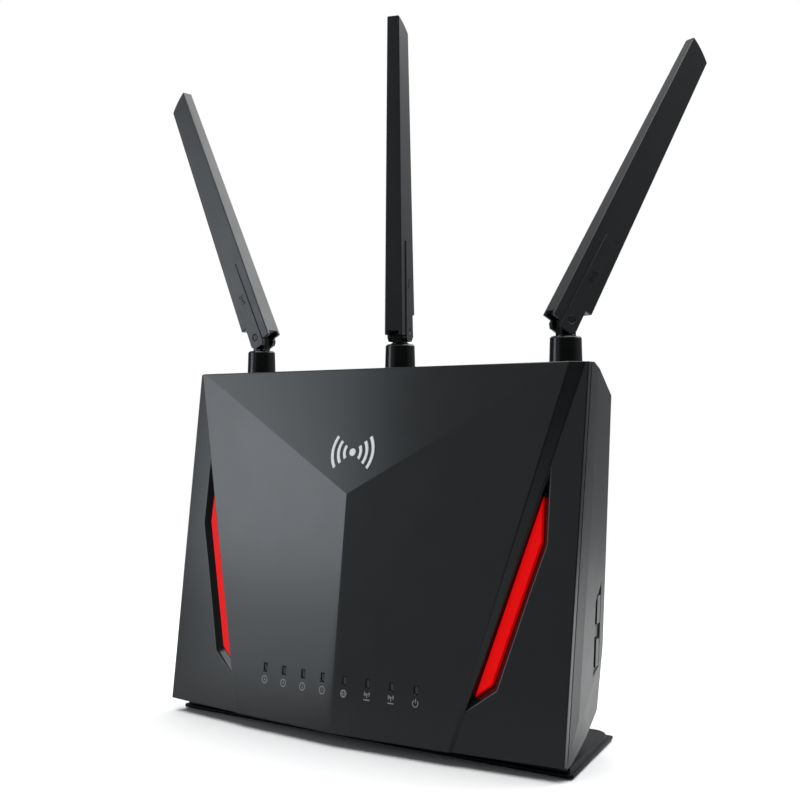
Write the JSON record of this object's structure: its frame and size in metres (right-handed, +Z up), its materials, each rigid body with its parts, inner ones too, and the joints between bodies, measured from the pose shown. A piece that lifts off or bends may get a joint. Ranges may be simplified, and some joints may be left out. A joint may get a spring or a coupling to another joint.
{
  "type": "wireless router",
  "caption": "Upright wireless router: faceted dark front, red accent recesses, folding swivel antennas, rear network and power sockets, push buttons and a wide foot.",
  "frame": {"origin": "on the floor, in the middle of the foot", "axes": "+X to the right seen from the front, +Y to the back, +Z up"},
  "size_m": [0.2689, 0.1138, 0.3176],
  "materials": {
    "front_plastic": "fine matte texture",
    "housing_plastic": "satin grain",
    "foot_plastic": "smooth satin",
    "red_trim": "glossy",
    "silver_print": "satin",
    "clear_pipe": "translucent",
    "lamp_white": "glossy",
    "rubber": "matte",
    "dark_screw": "black zinc",
    "board_green": "solder mask",
    "steel": "plain",
    "chip_black": "matte",
    "aluminium": "plain",
    "tin_plate": "tin plated",
    "socket_black": "satin",
    "socket_blue": "satin",
    "gold": "gold plated",
    "tongue_blue": "satin",
    "cable_black": "matte",
    "button_black": "satin",
    "reset_red": "satin",
    "sleeve_gloss": "glossy",
    "antenna_plastic": "satin"
  },
  "bodies": {
    "body": {"front_panel": "front_plastic", "rear_housing": "housing_plastic", "accent_left": "red_trim", "accent_right": "red_trim", "badge": "silver_print", "light_pipes": "clear_pipe", "lamps": "lamp_white", "foot": "foot_plastic", "foot_pads": "rubber", "housing_screws": "dark_screw", "circuit_board": "board_green", "board_screws": "steel", "chips": "chip_black", "heatsink": "aluminium", "shield_cans": "tin_plate", "transformers": "chip_black", "capacitors": "aluminium", "inner_antenna": "tin_plate", "lan_sockets": "socket_black", "wan_socket": "socket_blue", "socket_contacts": "gold", "usb_shells": "tin_plate", "usb_tongues": "tongue_blue", "power_jack": "socket_black", "power_jack_pin": "tin_plate", "rear_switches": "chip_black", "side_switches": "chip_black", "antenna_sockets": "gold", "pigtails": "cable_black", "sleeve_left": "sleeve_gloss", "sleeve_centre": "sleeve_gloss", "sleeve_right": "sleeve_gloss"},
    "power_button_body": {"power_button": "button_black"},
    "reset_button_body": {"reset_button": "reset_red"},
    "upper_side_button_body": {"upper_side_button": "button_black"},
    "lower_side_button_body": {"lower_side_button": "button_black"},
    "antenna_hinge_left": {"knuckle_left": "sleeve_gloss", "hinge_pin_left": "dark_screw"},
    "antenna_blade_left": {"blade_left": "antenna_plastic", "radiator_left": "board_green"},
    "antenna_hinge_centre": {"knuckle_centre": "sleeve_gloss", "hinge_pin_centre": "dark_screw"},
    "antenna_blade_centre": {"blade_centre": "antenna_plastic", "radiator_centre": "board_green"},
    "antenna_hinge_right": {"knuckle_right": "sleeve_gloss", "hinge_pin_right": "dark_screw"},
    "antenna_blade_right": {"blade_right": "antenna_plastic", "radiator_right": "board_green"}
  },
  "joints": [
    {"name": "swivel_left", "type": "hinge", "parent": "body", "child": "antenna_hinge_left", "pos_m": [-0.0875, -0.0048, 0.17], "axis": [0, 0, 1], "range_deg": [-90, 90]},
    {"name": "fold_left", "type": "hinge", "parent": "antenna_hinge_left", "child": "antenna_blade_left", "pos_m": [-0.0875, -0.0048, 0.178], "axis": [0, -1, 0], "range_deg": [-26.5, 63.5]},
    {"name": "swivel_centre", "type": "hinge", "parent": "body", "child": "antenna_hinge_centre", "pos_m": [0, -0.0048, 0.17], "axis": [0, 0, 1], "range_deg": [-60, 45]},
    {"name": "fold_centre", "type": "hinge", "parent": "antenna_hinge_centre", "child": "antenna_blade_centre", "pos_m": [0, -0.0048, 0.178], "axis": [-0.9511, -0.309, 0], "range_deg": [0, 90]},
    {"name": "swivel_right", "type": "hinge", "parent": "body", "child": "antenna_hinge_right", "pos_m": [0.0875, -0.0048, 0.17], "axis": [0, 0, 1], "range_deg": [-156, 24]},
    {"name": "fold_right", "type": "hinge", "parent": "antenna_hinge_right", "child": "antenna_blade_right", "pos_m": [0.0875, -0.0048, 0.178], "axis": [-0.9135, 0.4067, 0], "range_deg": [-31, 59]},
    {"name": "power_press", "type": "slide", "parent": "body", "child": "power_button_body", "axis": [0, -1, 0], "range_m": [0, 0.002], "stiffness_N_per_m": 400},
    {"name": "reset_press", "type": "slide", "parent": "body", "child": "reset_button_body", "axis": [0, -1, 0], "range_m": [0, 0.0008], "stiffness_N_per_m": 400},
    {"name": "upper_side_press", "type": "slide", "parent": "body", "child": "upper_side_button_body", "axis": [-0.9395, -0.3401, 0.0408], "range_m": [0, 0.0008], "stiffness_N_per_m": 400},
    {"name": "lower_side_press", "type": "slide", "parent": "body", "child": "lower_side_button_body", "axis": [-0.9395, -0.3401, 0.0408], "range_m": [0, 0.0008], "stiffness_N_per_m": 400}
  ]
}
